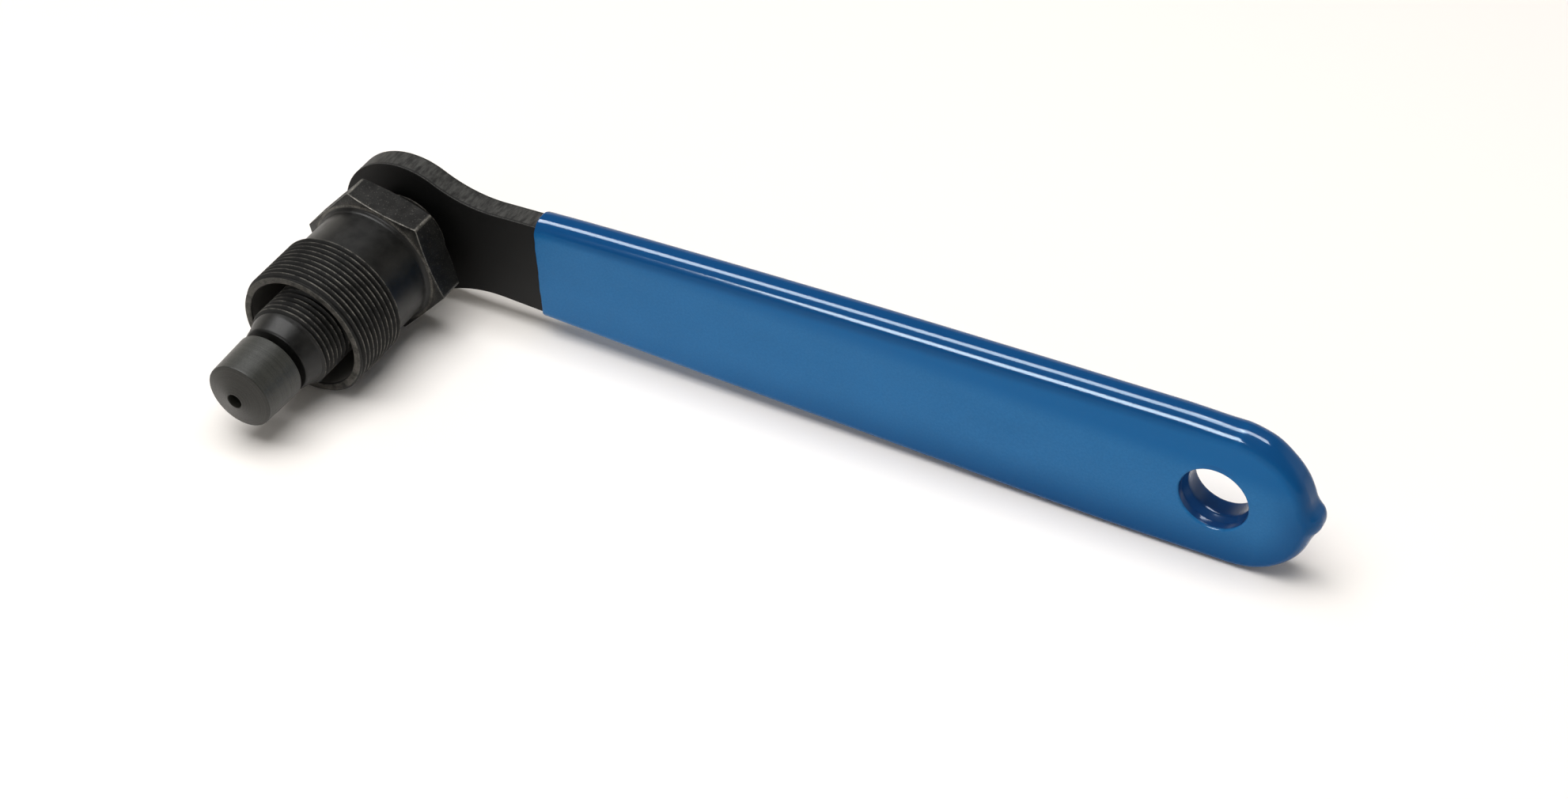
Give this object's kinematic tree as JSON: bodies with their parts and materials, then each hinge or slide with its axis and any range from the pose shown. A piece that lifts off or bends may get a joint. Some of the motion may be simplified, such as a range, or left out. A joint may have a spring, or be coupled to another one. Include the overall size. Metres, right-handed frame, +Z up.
{
  "type": "crank puller",
  "caption": "Bicycle crank puller: a dipped flat lever turns a screw through a hex body with a crank thread, so a swivel tip pushes on the spindle and draws the crank off.",
  "frame": {"origin": "bottom centre of the box around the tool as it lies on its side", "axes": "+X along the lever towards the hang hole, +Z up, and the screw's tip towards -Y, leaning down by four degrees"},
  "size_m": [0.1668, 0.0514, 0.0254],
  "materials": {
    "black_oxide_steel": "satin",
    "tip_steel": "satin",
    "spring_steel": "satin",
    "black_plate_steel": "matte",
    "blue_vinyl": "gloss"
  },
  "bodies": {
    "puller": {"puller_body": "black_oxide_steel"},
    "carriage": {"retaining_ring": "spring_steel"},
    "handle": {"drive_screw": "black_oxide_steel", "lever": "black_plate_steel", "grip": "blue_vinyl"},
    "tip": {"swivel_tip": "tip_steel"}
  },
  "joints": [
    {"name": "screw_feed", "type": "slide", "parent": "puller", "child": "carriage", "axis": [-0.0004, -0.9975, -0.0708], "range_m": [-0.01701, 0.00441]},
    {"name": "handle_turn", "type": "hinge", "parent": "carriage", "child": "handle", "pos_m": [-0.07096, 0.02021, 0.013], "axis": [-0.0004, -0.9975, -0.0708], "range_deg": [-6120, 1584]},
    {"name": "tip_spin", "type": "hinge", "parent": "carriage", "child": "tip", "pos_m": [-0.07096, 0.02021, 0.013], "axis": [-0.0004, -0.9975, -0.0708], "continuous": true}
  ],
  "couplings": [
    {"joint": "screw_feed", "follows": "handle_turn", "m_per_rad": 0.00015915}
  ]
}
